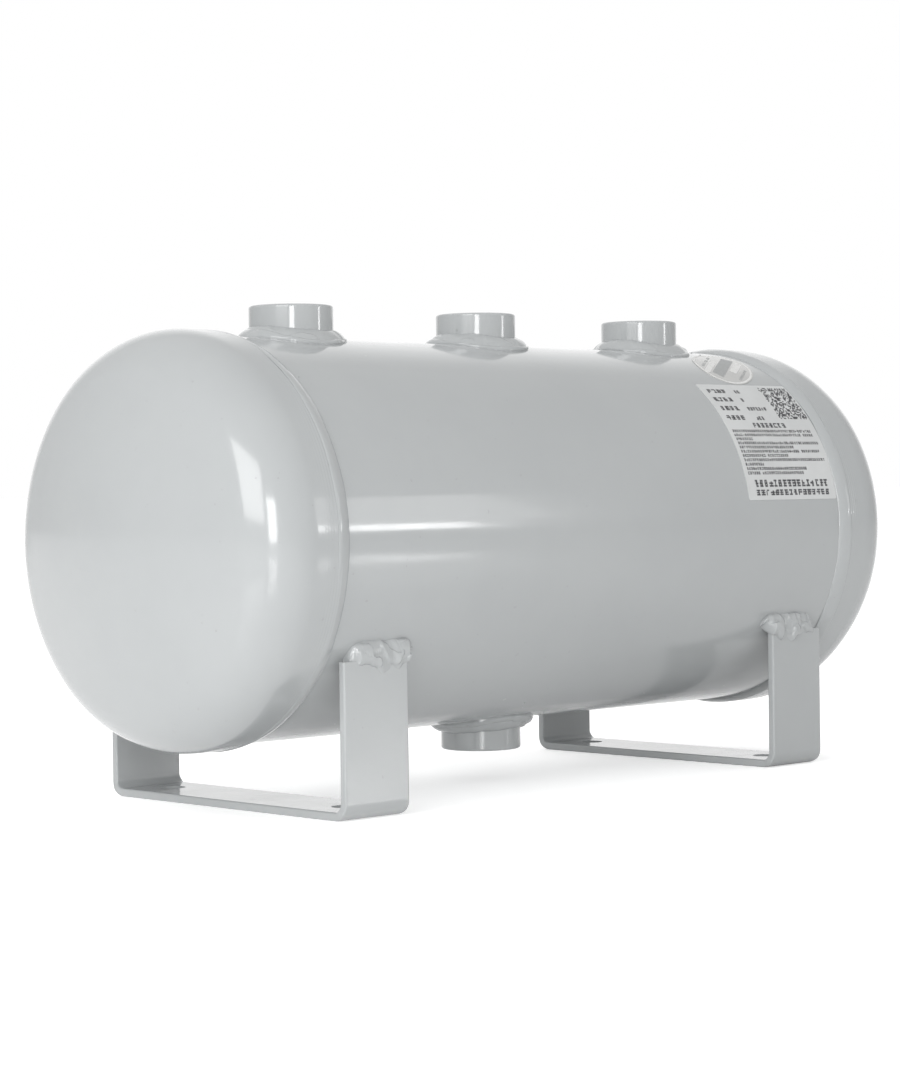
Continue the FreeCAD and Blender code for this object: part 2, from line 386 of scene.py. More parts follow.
def machined_steel(name):
    """Cut thread: bright steel with fine grain and dull stains."""
    material, tree, shader, place = new_material(name)
    grain = noise(tree, place, 900.0, 3.0, 0.6, 1.0)
    stain = noise(tree, place, 90.0, 4.0, 0.6, 2.0)
    colour = blend_colours(tree, stain.ramp(0.35, 0.7), BRIGHT_STEEL, DULL_STEEL)
    put(tree, shader.inputs["Base Color"], colour)
    shader.inputs["Metallic"].default_value = 0.9
    put(tree, shader.inputs["Roughness"], grain.ramp(0.3, 0.7, 0.26, 0.44))
    put(tree, shader.inputs["Normal"], bump(tree, grain, 0.02 * MM))
    return material


def sticker_film(name, light, dark, gloss):
    """Printed film, slightly uneven under its clear face."""
    material, tree, shader, place = new_material(name)
    cloud = noise(tree, place, 60.0, 4.0, 0.6, 7.0)
    put(tree, shader.inputs["Base Color"], blend_colours(tree, cloud.ramp(0.3, 0.7), light, dark))
    put(tree, shader.inputs["Roughness"], cloud.ramp(0.3, 0.7, gloss, gloss + 0.08))
    slack = noise(tree, place, 110.0, 2.0, 0.5, 8.0)
    put(tree, shader.inputs["Normal"], bump(tree, slack, 0.03 * MM))
    return material


def printing_ink(name, colour):
    """Flat ink that is a little worn through."""
    material, tree, shader, place = new_material(name)
    wear = noise(tree, place, 900.0, 2.0, 0.6, 9.0)
    faded = tuple(min(1.0, 0.5 * c + 0.16) for c in colour[:3]) + (1.0,)
    put(tree, shader.inputs["Base Color"], blend_colours(tree, wear.ramp(0.5, 0.75), colour, faded))
    put(tree, shader.inputs["Roughness"], wear.ramp(0.3, 0.7, 0.4, 0.55))
    return material


tank_enamel = enamel("tank_enamel", gloss=0.11, peel=0.0014, wave=0.05)
head_enamel = enamel("head_enamel", gloss=0.15, peel=0.0016, wave=0.03)
bar_enamel = enamel("bar_enamel", gloss=0.16, peel=0.0016, wave=0.015)
boss_enamel = enamel("boss_enamel", gloss=0.12, peel=0.0014, wave=0.01, turning=0.004)
weld_enamel = enamel("weld_enamel", gloss=0.11, peel=0.003, wave=0.03)
thread_steel = machined_steel("thread_steel")
label_film = sticker_film("label_film", (0.58, 0.59, 0.59, 1.0), (0.54, 0.55, 0.55, 1.0), 0.30)
oval_film = sticker_film("oval_film", (0.51, 0.51, 0.50, 1.0), (0.46, 0.46, 0.45, 1.0), 0.14)
label_ink = printing_ink("label_ink", (0.05, 0.05, 0.055, 1.0))
oval_grey = printing_ink("oval_grey", (0.33, 0.34, 0.34, 1.0))
# Pale ink that paints highlights on the oval sticker: its glare stripes and the shine of its clear rim
oval_painted_glare = printing_ink("oval_painted_glare", (0.68, 0.68, 0.67, 1.0))


# ---------------------------------------------------------------- shell and heads

def round_x(side=1):
    """Places a point turned round the tank's axis."""
    def place(radius, along, turn):
        return side * along, radius * math.sin(turn), AXIS_HEIGHT + radius * math.cos(turn)
    return place


def drill_tree():
    """Cuts a round hole at each point of another object."""
    inputs = {"Drill Points": ("Object", None), "Radius": ("Float", 0.005), "Depth": ("Float", 0.01),
              "Sides": ("Int", 64), "Finish": ("Material", None)}
    tree, given = new_tree("drilled_holes", inputs)
    centres = add_node(tree, "GeometryNodeObjectInfo", {}, {"Object": given["Drill Points"]})
    sizes = {"Vertices": given["Sides"], "Radius": given["Radius"], "Depth": given["Depth"]}
    drill = add_node(tree, "GeometryNodeMeshCylinder", {}, sizes)
    spots = Field(tree, centres.outputs["Geometry"])
    set_down = {"Points": spots, "Instance": Field(tree, drill.outputs["Mesh"])}
    drills = add_node(tree, "GeometryNodeInstanceOnPoints", {}, set_down)
    real = add_node(tree, "GeometryNodeRealizeInstances", {}, {0: Field(tree, drills.outputs[0])})
    cut = tree.nodes.new("GeometryNodeMeshBoolean")
    cut.operation = "DIFFERENCE"
    cut.solver = "EXACT"
    tree.links.new(given["Geometry"].socket, cut.inputs["Mesh 1"])
    tree.links.new(real.outputs[0], cut.inputs["Mesh 2"])
    close_tree(tree, Field(tree, cut.outputs["Mesh"]), given["Finish"])
    return tree


DRILL = drill_tree()


def drilled(made, centres, radius, depth, sides, finish):
    """Runs the drill tree on a piece, with an upright hole at each centre."""
    points = new_object("drill_points", centres, [], [])
    values = {"Drill Points": points, "Radius": radius, "Depth": depth, "Sides": sides, "Finish": finish}
    grow(made, DRILL, values)
    bpy.data.objects.remove(points)
    return made


def boss_middle(name):
    """How far along the tank a boss stands."""
    low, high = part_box(name + "_boss")
    return (low.x + high.x) / 2


def make_shell():
    """The rolled tube with a hole for each boss, its walls shaded as true cylinders."""
    inner = SHELL_RADIUS - SHELL_WALL
    stations = [SHELL_END * (k / 12 - 1) for k in range(25)]
    outline = [(SHELL_RADIUS, x) for x in stations] + [(inner, x) for x in reversed(stations)]
    made = turned("shell_body", outline, 288, round_x())
    face_outward(made)
    wall_middle = SHELL_RADIUS - SHELL_WALL / 2
    centres = [(boss_middle(name), 0, AXIS_HEIGHT + way * wall_middle) for name, way in PORTS.items()]
    drilled(made, centres, BOSS_RADIUS + BOSS_FIT, 6 * SHELL_WALL, 96, tank_enamel)
    mesh = made.data
    mesh.shade_smooth()
    normals = []
    for face in mesh.polygons:
        middle = Vector((0, face.center.y, face.center.z - AXIS_HEIGHT)).normalized()
        lean = face.normal.dot(middle)
        for corner in face.vertices:
            point = mesh.vertices[corner].co
            away = Vector((0, point.y, point.z - AXIS_HEIGHT)).normalized()
            normals.append(away * math.copysign(1, lean) if abs(lean) > 0.9 else face.normal)
    mesh.normals_split_custom_set(normals)
    return keep_piece(made, "shell_body", tank_enamel, "painted_shell", "shell")


TANGENT = SHELL_END + TANGENT_GAP  # where the flange turns into the knuckle


def head_face(radius, knuckle, steps_crown, steps_knuckle):
    """Points (radius, along) of one face of a head, from its pole to the start of its flange."""
    depth = POLE - TANGENT - (HEAD_RADIUS - radius)
    reach = radius - knuckle
    crown = (reach ** 2 + depth ** 2 - knuckle ** 2) / (2 * (depth - knuckle))
    slope = math.asin(reach / (crown - knuckle))
    middle = TANGENT + depth - crown
    dish = arc((middle, 0), crown, 0, slope, steps_crown)
    corner = arc((TANGENT, reach), knuckle, slope, math.pi / 2, steps_knuckle)
    return [(up, across) for across, up in dish + corner[1:]]


RIDGE_HEIGHT = 0.030 * MM
RIDGE_PITCH = 1.25 * MM
RIDGE_MIDDLE = 3.0 * MM  # from the flange's edge
RIDGE_SPREAD = 3.6 * MM


def flange_ridges(along):
    """Faint rings that the forming roll leaves near the flange's edge."""
    fade = math.exp(-((along - FLANGE_EDGE - RIDGE_MIDDLE) / RIDGE_SPREAD) ** 2)
    return RIDGE_HEIGHT * fade * math.sin(along / RIDGE_PITCH * TURN)


# A pressed head is never quite round: waves round it, their height in mm, their share of the phase
HEAD_WAVES = ((3, 0.10, 1), (7, 0.06, 2), (13, 0.035, 5))
HEAD_PHASE = {-1: 1.3, 1: 4.1}
FLAT_SHARE = 0.3  # of the radius, inside which the crown stays true


def make_head(name, side):
    """A pressed head: dished crown, knuckle and flange, slightly uneven as pressed sheet is."""
    outer = head_face(HEAD_RADIUS, KNUCKLE, 34, 30)
    inner = head_face(HEAD_RADIUS - HEAD_WALL, KNUCKLE - HEAD_WALL, 16, 14)
    steps = 44
    flange = [TANGENT + (FLANGE_EDGE - TANGENT) * k / steps for k in range(1, steps + 1)]
    outer += [(HEAD_RADIUS + flange_ridges(x), x) for x in flange]
    inner += [(HEAD_RADIUS - HEAD_WALL, x) for x in flange[::8]] + [(HEAD_RADIUS - HEAD_WALL, FLANGE_EDGE)]
    outline = [(0.0, outer[0][1])] + outer[1:] + inner[:0:-1] + [(0.0, inner[0][1])]
    made = turned(name, outline, 256, round_x(side))
    phase = HEAD_PHASE[side]
    for vertex in made.data.vertices:
        point = vertex.co
        across, up = point.y, point.z - AXIS_HEIGHT
        radius = math.hypot(across, up)
        if radius > FLAT_SHARE * HEAD_RADIUS:
            turn = math.atan2(across, up)
            swell = sum(height * math.sin(waves * turn + part * phase)
                        for waves, height, part in HEAD_WAVES)
            share = (radius / HEAD_RADIUS - FLAT_SHARE) / (1 - FLAT_SHARE)
            grow_by = 1 + swell * MM * share * share / radius
            point.y *= grow_by
            point.z = AXIS_HEIGHT + up * grow_by
    face_outward(made)
    shade(made)
    return keep_piece(made, name, head_enamel, "painted_shell", name.replace("_dish", "_head"))


# ---------------------------------------------------------------- weld beads

BEAD_TOP = 37  # points across a bead's face
BEAD_ROUND = 44  # points round its whole section
BEAD_SEAT = 0.04 * MM  # how far a bead's face is let in, so that its toes blend into the metal
LAP_EDGE = 0.035  # half the width of a lap's step, as a share of the bead's
FOLD_EDGE = (0.47, 0.53)  # the narrower, the steeper the front of a frozen fold


def bead_tree():
    """A weld bead laid along a path, between the two toe lines that the path's points carry."""
    inputs = {
        "Dome Power": ("Float", 0.62), "Ripple Height": ("Float", 0.00003), "Ripple Pitch": ("Float", 0.0012),
        "Ripple Bow": ("Float", 0.9), "Lump Height": ("Float", 0.0002), "Lump Size": ("Float", 0.007),
        "Lap Height": ("Float", 0.0003), "Low Pass": ("Float", 0.0), "High Pass": ("Float", 0.0),
        "Fold Height": ("Float", 0.0), "Fold Size": ("Float", 0.006), "Sink": ("Float", 0.0006),
        "Seed": ("Float", 0.0), "Finish": ("Material", None),
    }
    tree, given = new_tree("weld_bead", inputs)
    route = add_node(tree, "GeometryNodeMeshToCurve", {}, {"Mesh": given["Geometry"]})
    circle = add_node(tree, "GeometryNodeCurvePrimitiveCircle", {}, {"Resolution": BEAD_ROUND})
    count = Field(tree, tree.nodes.new("GeometryNodeInputIndex").outputs[0])
    inputs = {"Geometry": Field(tree, circle.outputs["Curve"]), "Name": "step", "Value": count}
    settings = {"data_type": "FLOAT", "domain": "POINT"}
    section = add_node(tree, "GeometryNodeStoreNamedAttribute", settings, inputs)
    inputs = {"Curve": Field(tree, route.outputs[0]), "Profile Curve": Field(tree, section.outputs[0]),
              "Fill Caps": True}
    skin = add_node(tree, "GeometryNodeCurveToMesh", {}, inputs)

    # Across the bead: 0 at its low toe, 1 at its high toe, and back again underneath
    step = named(tree, "step")
    low, high, out = (named(tree, label, "FLOAT_VECTOR") for label in ("toe_low", "toe_high", "outward"))
    crown, lap, along, lift = (named(tree, label) for label in ("crown", "lap", "along", "lift"))
    on_face = step.math("LESS_THAN", BEAD_TOP - 0.5)
    face_share = step / (BEAD_TOP - 1)
    back_share = step.ramp(BEAD_TOP, BEAD_ROUND - 1, 0.86, 0.14, smooth=False)
    across = face_share * on_face + back_share * on_face.flipped()
    line = low.vector("ADD", high.vector("SUBTRACT", low).scaled(across))

    # The domed face with its lumps, ripples and the step where one pass laps another
    window = (across * across.flipped() * 4).math("MAXIMUM", 0.0)
    dome = window ** given["Dome Power"]
    clods = noise(tree, line, given["Lump Size"].inverse(), 2.0, 0.5, given["Seed"])
    bow = (across * 2 - 1) ** 2 * given["Ripple Bow"]
    wave = ((along / given["Ripple Pitch"] + bow) * TURN).math("COSINE")
    edge = (lap - across).ramp(-LAP_EDGE, LAP_EDGE)
    height = crown * dome + (clods - 0.5) * given["Lump Height"] * 2 * window.math("SQRT")
    height = height + wave * given["Ripple Height"] * window.math("SQRT")
    height = height + edge * given["Lap Height"] * window.math("SQRT")

    # Two rolls of metal with a crease between them
    crease = lap.math("MAXIMUM", 0.05).math("MINIMUM", 0.95)
    low_roll = ((across / crease).math("MINIMUM", 1.0) * math.pi).math("SINE").math("MAXIMUM", 0.0)
    high_share = ((across - crease) / crease.flipped()).math("MAXIMUM", 0.0)
    high_roll = (high_share * math.pi).math("SINE").math("MAXIMUM", 0.0)
    height = height + (low_roll ** 0.6) * given["Low Pass"] + (high_roll ** 0.7) * given["High Pass"]

    # Folds where the metal flowed and froze
    flow = noise(tree, line, given["Fold Size"].inverse(), 1.0, 0.4, given["Seed"] + 7)
    height = height + flow.ramp(*FOLD_EDGE) * given["Fold Height"] * window.math("SQRT")
    low_side = across.ramp(0.0, 0.3, 1.0, 0.0)
    face_height = height + lift * low_side - BEAD_SEAT
    height = face_height * on_face + (given["Sink"] * -1) * on_face.flipped()
    inputs = {"Geometry": Field(tree, skin.outputs[0]), "Position": line.vector("ADD", out.scaled(height))}
    laid = add_node(tree, "GeometryNodeSetPosition", {}, inputs)
    close_tree(tree, Field(tree, laid.outputs[0]), given["Finish"])
    return tree


BEAD = bead_tree()


def wander(seed, count, closed, strength, waves=(1, 2, 3, 5, 8)):
    """A smooth random list that stays within about +-strength and joins up when closed."""
    draw = random.Random(seed)
    share = np.arange(count) / (count if closed else count - 1)
    total = np.zeros(count)
    for wave in waves:
        height, phase = draw.uniform(0.4, 1.0), draw.uniform(0, TURN)
        total += height / math.sqrt(wave) * np.sin(share * TURN * wave + phase)
    return total * strength / 1.6


def lay_bead(name, low, high, outward, crown, closed, node, lap=None, lift=None, **sizes):
    """Runs the bead tree along two toe lines and hands the piece over.

    lap is where across the bead one pass covers another, and lift stands the low toe off the metal."""
    low, high, outward = (np.asarray(rows, float) for rows in (low, high, outward))
    count = len(low)
    root = (low + high) / 2
    steps = np.linalg.norm(np.diff(root, axis=0), axis=1)
    along = np.concatenate([[0.0], np.cumsum(steps)])
    edges = [(k, k + 1) for k in range(count - 1)] + ([(count - 1, 0)] if closed else [])
    made = new_object(name, root, edges, [])
    blank = np.full(count, -1.0)
    facts = {"toe_low": low, "toe_high": high, "outward": outward, "crown": crown, "along": along,
             "lap": blank if lap is None else lap,
             "lift": np.zeros(count) if lift is None else lift}
    for label, values in facts.items():
        store(made, label, values)
    pitch = sizes.get("Ripple Pitch", 1.2 * MM)
    if closed:
        length = along[-1] + np.linalg.norm(root[0] - root[-1])
        pitch = length / round(length / pitch)
    values = {**sizes, "Ripple Pitch": float(pitch), "Finish": weld_enamel}
    grow(made, BEAD, values)
    face_outward(made, 0.002 * MM)
    shade(made, math.radians(50))
    return keep_piece(made, name, weld_enamel, "painted_weld", node)


def around(count):
    """Evenly spaced angles round a circle."""
    return [TURN * k / count for k in range(count)]


def hump(values, middle, width):
    """A smooth bump of height 1, once round a circle of angles."""
    gap = (np.asarray(values) - middle + math.pi) % TURN - math.pi
    return np.exp(-(gap / width) ** 2)


def lay_head_weld(name, side, seed):
    """The lap bead from the shell up over the flange's edge."""
    count = 420
    turns = np.array(around(count))
    toe = WELD_TOE + wander(seed, count, True, 0.45 * MM, (2, 5, 9, 14, 23))
    top = FLANGE_EDGE + 1.7 * MM + wander(seed + 1, count, True, 0.35 * MM, (3, 7, 12, 19))
    ring = np.stack([np.zeros(count), np.sin(turns), np.cos(turns)], 1)
    middle = np.array([0, 0, AXIS_HEIGHT])
    low = middle + ring * SHELL_RADIUS + np.outer(toe * side, [1, 0, 0])
    high = middle + ring * HEAD_RADIUS + np.outer(top * side, [1, 0, 0])
    outward = ring * 0.95 + np.array([-0.31 * side, 0, 0])
    crown = 0.72 * MM + wander(seed + 2, count, True, 0.14 * MM, (3, 6, 11, 17, 29))
    stop = hump(turns, math.radians(200 + 40 * side), 0.05)  # where the run starts and stops
    crown += 0.35 * MM * stop
    lift = 0.30 * MM * (hump(turns, math.radians(-52), 0.10) + hump(turns, math.radians(-127), 0.13))
    lap = -0.1 + 1.2 * hump(turns, math.radians(150), 0.3)
    return lay_bead(name, low, high, outward, crown, True, name.replace("_lap", "_head"), lap, lift,
                    **{"Lump Height": 0.10 * MM, "Lump Size": 9 * MM, "Lap Height": 0.22 * MM,
                       "Ripple Height": 0.018 * MM, "Ripple Pitch": 1.3 * MM, "Seed": float(seed)})


def on_shell(x, y, way):
    """The points of the shell straight over or under (x, y)."""
    height = np.sqrt(SHELL_RADIUS ** 2 - np.asarray(y) ** 2)
    return np.stack([x, y, AXIS_HEIGHT + way * height], 1)


def lay_boss_weld(name, way, seed, heavy):
    """The skirt-like bead round a boss, laid in passes that overlap."""
    count = 240
    turns = np.array(around(count))
    x = boss_middle(name)
    ring = np.stack([np.cos(turns), np.sin(turns), np.zeros(count)], 1)
    reach = BOSS_RADIUS + BOSS_WELD_REACH + wander(seed, count, True, 0.60 * MM, (1, 2, 3, 5, 7))
    reach += 0.8 * MM * hump(turns, math.radians(225), 0.9)  # widest at the front, to the left
    rise = BOSS_WELD_RISE + wander(seed + 1, count, True, 0.55 * MM, (1, 2, 4, 7))
    low = on_shell(x + ring[:, 0] * reach, ring[:, 1] * reach, way)
    foot = on_shell(x + ring[:, 0] * BOSS_RADIUS, ring[:, 1] * BOSS_RADIUS, way)
    high = foot + np.outer(rise, [0, 0, way])
    chord = high - low
    tangent = np.stack([-np.sin(turns), np.cos(turns), np.zeros(count)], 1)
    outward = np.cross(tangent, chord) * way
    outward /= np.linalg.norm(outward, axis=1)[:, None]
    outward *= np.sign((outward * ring).sum(1))[:, None]
    crown = (0.65 if heavy else 0.25) * MM + wander(seed + 2, count, True, 0.25 * MM, (1, 2, 3, 6))
    lap = 0.45 + 0.30 * np.sin(turns + seed) + 0.12 * np.sin(turns * 3 + 2 * seed)
    return lay_bead(name + "_skirt", low, high, outward, crown, True, name + "_weld", lap, None,
                    **{"Lump Height": 0.20 * MM, "Lump Size": 7 * MM, "Lap Height": 0.0,
                       "Low Pass": 0.45 * MM, "High Pass": 0.30 * MM, "Fold Height": 0.42 * MM,
                       "Fold Size": 10 * MM, "Ripple Height": 0.012 * MM, "Ripple Pitch": 1.5 * MM,
                       "Seed": float(seed)})


LEG_WELD_TAIL = 4.2 * MM  # how far the bead runs on past the bar
LEG_WELD_MERGE = 2.6 * MM  # over which its low toe goes from the bar back to the shell


def lay_leg_weld(name, side, way, seed):
    """The bead that fills the gap between a leg's end and the shell: two runs, one over the other."""
    count = 300
    share = np.linspace(0.0, 1.0, count)
    start, end = leg_weld_high.x, leg_weld_low.x - LEG_WELD_TAIL
    x = start + (end - start) * share
    past_bar = np.clip((BAR_MIDDLE - BAR_WIDTH / 2 - x) / LEG_WELD_MERGE, 0, 1)
    begin = 1 - np.exp(-share / 0.05)
    finish = np.sqrt(np.clip(1 - np.clip((share - 0.86) / 0.14, 0, 1) ** 2, 0, 1))
    first = np.exp(-((share - 0.30) / 0.24) ** 4)
    second = 1 / (1 + np.exp(-(share - 0.66) / 0.018))
    rise = (-1.6 + 4.9 * begin) * MM + wander(seed + 1, count, False, 0.45 * MM, (2, 3, 5, 9))
    rise = -1.2 * MM + (rise + 1.2 * MM) * finish
    tongues = 3.0 * np.exp(-((share - 0.47) / 0.12) ** 2), 2.2 * np.exp(-((share - 0.70) / 0.07) ** 2)
    drop = (5.0 + tongues[0] + tongues[1]) * MM
    drop += wander(seed, count, False, 0.5 * MM, (2, 4, 7, 12))
    drop = drop * (1 - past_bar) + 1.3 * MM * past_bar
    low_z = LEG_TOP - drop
    shell_y = np.sqrt(SHELL_RADIUS ** 2 - (AXIS_HEIGHT - low_z) ** 2)
    low_y = LEG_FACE * (1 - past_bar) + shell_y * past_bar
    high_z = LEG_TOP + rise
    high_y = np.sqrt(SHELL_RADIUS ** 2 - (AXIS_HEIGHT - high_z) ** 2)
    low = np.stack([x * side, low_y * way, low_z], 1)
    high = np.stack([x * side, high_y * way, high_z], 1)
    outward = np.tile([0.0, way * 0.98, 0.20], (count, 1))
    crown = (0.9 * first + 1.3 * second + 0.25) * MM * begin * finish
    crown += wander(seed + 2, count, False, 0.15 * MM) * begin * finish
    lap = 0.50 + 0.20 * np.sin(share * 13 + seed)
    return lay_bead(name, low, high, outward, crown, False, name.replace("_blob", "_weld"), lap, None,
                    **{"Lump Height": 0.35 * MM, "Lump Size": 6.0 * MM, "Lap Height": 0.0,
                       "Low Pass": 0.15 * MM, "High Pass": 0.20 * MM, "Fold Height": 0.95 * MM,
                       "Fold Size": 6.0 * MM, "Sink": 2.4 * MM, "Dome Power": 0.75,
                       "Ripple Height": 0.015 * MM, "Seed": float(seed)})


def lay_seam_weld():
    """The low straight bead of the shell's seam."""
    count = 460
    middle_y, middle_z = (seam_low.y + seam_high.y) / 2, (seam_low.z + seam_high.z) / 2 - AXIS_HEIGHT
    turn = math.atan2(middle_z, middle_y)
    half = SEAM_WIDTH / 2 / SHELL_RADIUS
    x = np.linspace(-WELD_TOE, WELD_TOE, count)
    low_turn = turn - half + wander(31, count, False, 0.25 * MM, (3, 8, 15, 27)) / SHELL_RADIUS
    high_turn = turn + half + wander(32, count, False, 0.25 * MM, (4, 9, 17, 31)) / SHELL_RADIUS

    def line(turns):
        return np.stack([x, np.cos(turns) * SHELL_RADIUS, AXIS_HEIGHT + np.sin(turns) * SHELL_RADIUS], 1)

    outward = np.tile([0, math.cos(turn), math.sin(turn)], (count, 1))
    crown = np.full(count, 0.72 * MM) + wander(33, count, False, 0.08 * MM, (5, 11, 19))
    return lay_bead("seam_bead", line(low_turn), line(high_turn), outward, crown, False, "shell_seam_weld",
                    **{"Lump Height": 0.06 * MM, "Lump Size": 8 * MM, "Ripple Height": 0.035 * MM,
                       "Ripple Pitch": 1.1 * MM, "Dome Power": 0.75, "Seed": 3.0})


# ---------------------------------------------------------------- bosses

def thread_tree():
    """Presses a screw thread into the points whose thread value is above nought."""
    inputs = {"Centre X": ("Float", 0.0), "Pitch": ("Float", 0.0018), "Depth": ("Float", 0.001),
              "Finish": ("Material", None)}
    tree, given = new_tree("screw_thread", inputs)
    spot = Field(tree, tree.nodes.new("GeometryNodeInputPosition").outputs[0])
    x, y, z = spot.parts()
    side = x - given["Centre X"]
    turn = y.math("ARCTAN2", side) / TURN
    phase = (z / given["Pitch"] - turn).math("FRACT")
    flank = ((phase - 0.5).math("ABSOLUTE") * 2).ramp(0.12, 0.88)
    depth = flank * given["Depth"] * named(tree, "thread")
    spread = combine(tree, side, y, 0.0).vector("NORMALIZE").scaled(depth)
    inputs = {"Geometry": given["Geometry"], "Offset": spread}
    cut = add_node(tree, "GeometryNodeSetPosition", {}, inputs)
    close_tree(tree, Field(tree, cut.outputs[0]), given["Finish"])
    return tree


THREAD = thread_tree()


def make_boss(name, way):
    """A turned boss: rounded rim, countersunk mouth and a real screw thread."""
    low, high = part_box(name + "_boss")
    x = boss_middle(name)
    rim, base = (high.z, low.z) if way > 0 else (low.z, high.z)
    length = high.z - low.z
    shoulder = 0.25 * MM
    wall = [0.0, length * 0.3, length * 0.6, length - BOSS_RIM_ROUND - shoulder]
    outline = [(BOSS_RADIUS, up) for up in wall]
    outline += arc((BOSS_RADIUS - BOSS_RIM_ROUND, length - BOSS_RIM_ROUND), BOSS_RIM_ROUND, 0, math.pi / 2, 8)
    outline += [(BOSS_RADIUS - BOSS_RIM_ROUND - shoulder, length), (MOUTH_RADIUS + shoulder, length)]
    chamfer = 0.08 * MM
    outline += [(MOUTH_RADIUS + chamfer, length), (MOUTH_RADIUS, length - chamfer)]
    rings = int((length - MOUTH_DEPTH) / (THREAD_PITCH / 11))
    bore = [(length - MOUTH_DEPTH) * (1 - k / rings) for k in range(rings + 1)]
    outline += [(THREAD_MINOR, up) for up in bore]

    def place(radius, up, turn):
        return x + radius * math.cos(turn), radius * math.sin(turn), base + way * up

    made = turned(name, outline, 96, place)
    points = np.array([v.co for v in made.data.vertices])
    depth_in = np.abs(points[:, 2] - rim)
    in_bore = np.hypot(points[:, 0] - x, points[:, 1]) < THREAD_MINOR + 0.01 * MM
    run_out = np.clip((length - depth_in) / (2 * THREAD_PITCH), 0, 1)
    store(made, "thread", in_bore * run_out)
    bare = in_bore & (depth_in > MOUTH_DEPTH * 0.5)
    values = {"Centre X": x, "Pitch": THREAD_PITCH, "Depth": THREAD_DEPTH, "Finish": boss_enamel}
    grow(made, THREAD, values)
    face_outward(made)
    shade(made)
    mesh = made.data
    mesh.materials.clear()
    mesh.materials.append(boss_enamel)
    mesh.materials.append(thread_steel)
    for face in mesh.polygons:
        face.material_index = int(all(bare[v] for v in face.vertices))
    return keep_piece(made, name + "_collar", None, "painted_boss", name + "_boss")


# ---------------------------------------------------------------- feet

def bar_tree():
    """A flat bar run along a bent path: each point of the path carries its outward direction."""
    tree, given = new_tree("bent_bar", {"Section": ("Object", None), "Finish": ("Material", None)})
    route = add_node(tree, "GeometryNodeMeshToCurve", {}, {"Mesh": given["Geometry"]})
    shape = add_node(tree, "GeometryNodeObjectInfo", {}, {"Object": given["Section"]})
    ring = add_node(tree, "GeometryNodeMeshToCurve", {}, {"Mesh": Field(tree, shape.outputs["Geometry"])})
    inputs = {"Curve": Field(tree, route.outputs[0]), "Profile Curve": Field(tree, ring.outputs[0]),
              "Fill Caps": True}
    skin = add_node(tree, "GeometryNodeCurveToMesh", {}, inputs)
    middle, outward = (named(tree, label, "FLOAT_VECTOR") for label in ("middle", "outward"))
    wide, thick, flare = (named(tree, label) for label in ("wide", "thick", "flare"))
    sideways = combine(tree, wide * (flare + 1), 0.0, 0.0)
    spot = middle.vector("ADD", sideways).vector("ADD", outward.scaled(thick))
    inputs = {"Geometry": Field(tree, skin.outputs[0]), "Position": spot}
    bent = add_node(tree, "GeometryNodeSetPosition", {}, inputs)
    close_tree(tree, Field(tree, bent.outputs[0]), given["Finish"])
    return tree


BENT_BAR = bar_tree()


def bar_section():
    """The bar's rounded section as a ring of points, with extra ones beside each round."""
    half_wide, half_thick, edge = BAR_WIDTH / 2, BAR_THICKNESS / 2, BAR_EDGE_ROUND
    beside = 0.1 * MM
    points = []
    for quarter in range(4):
        sign_wide = 1 if quarter in (0, 3) else -1
        sign_thick = 1 if quarter in (0, 1) else -1
        centre = (sign_wide * (half_wide - edge), sign_thick * (half_thick - edge))
        corner = arc(centre, edge, quarter * math.pi / 2, (quarter + 1) * math.pi / 2, 6)
        first, last = corner[0], corner[-1]
        back, on = math.sin(quarter * math.pi / 2) * beside, math.cos(quarter * math.pi / 2) * beside
        points += [(first[0] + back, first[1] - on)] + corner + [(last[0] - on, last[1] - back)]
    made = new_object("bar_section", [(a, b, 0) for a, b in points],
                      [(k, (k + 1) % len(points)) for k in range(len(points))], [])
    store(made, "wide", [a for a, _ in points])
    store(made, "thick", [b for _, b in points])
    return made


def bar_route():
    """The bar's middle line from the front leg's top to the rear leg's, and the way out from it."""
    middle = LEG_FACE - BAR_THICKNESS / 2
    bottom = BAR_THICKNESS / 2
    corner_y, corner_z = middle - BEND_RADIUS, bottom + BEND_RADIUS
    points = []  # (across, up, way out across, way out up, share of the bend's flare)
    for k in range(14):
        points.append((middle, LEG_CUT + (corner_z - LEG_CUT) * k / 14, 1.0, 0.0, 0.0))
    for k in range(17):
        turn = math.pi / 2 * k / 16
        bulge = math.sin(2 * turn) ** 2
        points.append((corner_y + BEND_RADIUS * math.cos(turn), corner_z - BEND_RADIUS * math.sin(turn),
                       math.cos(turn), -math.sin(turn), bulge))
    for k in range(1, 13):
        points.append((corner_y * (1 - k / 12), bottom, 0.0, -1.0, 0.0))
    rows = [(-y, z, -oy, oz, f) for y, z, oy, oz, f in points]
    rows += [(y, z, oy, oz, f) for y, z, oy, oz, f in reversed(points[:-1])]
    return rows


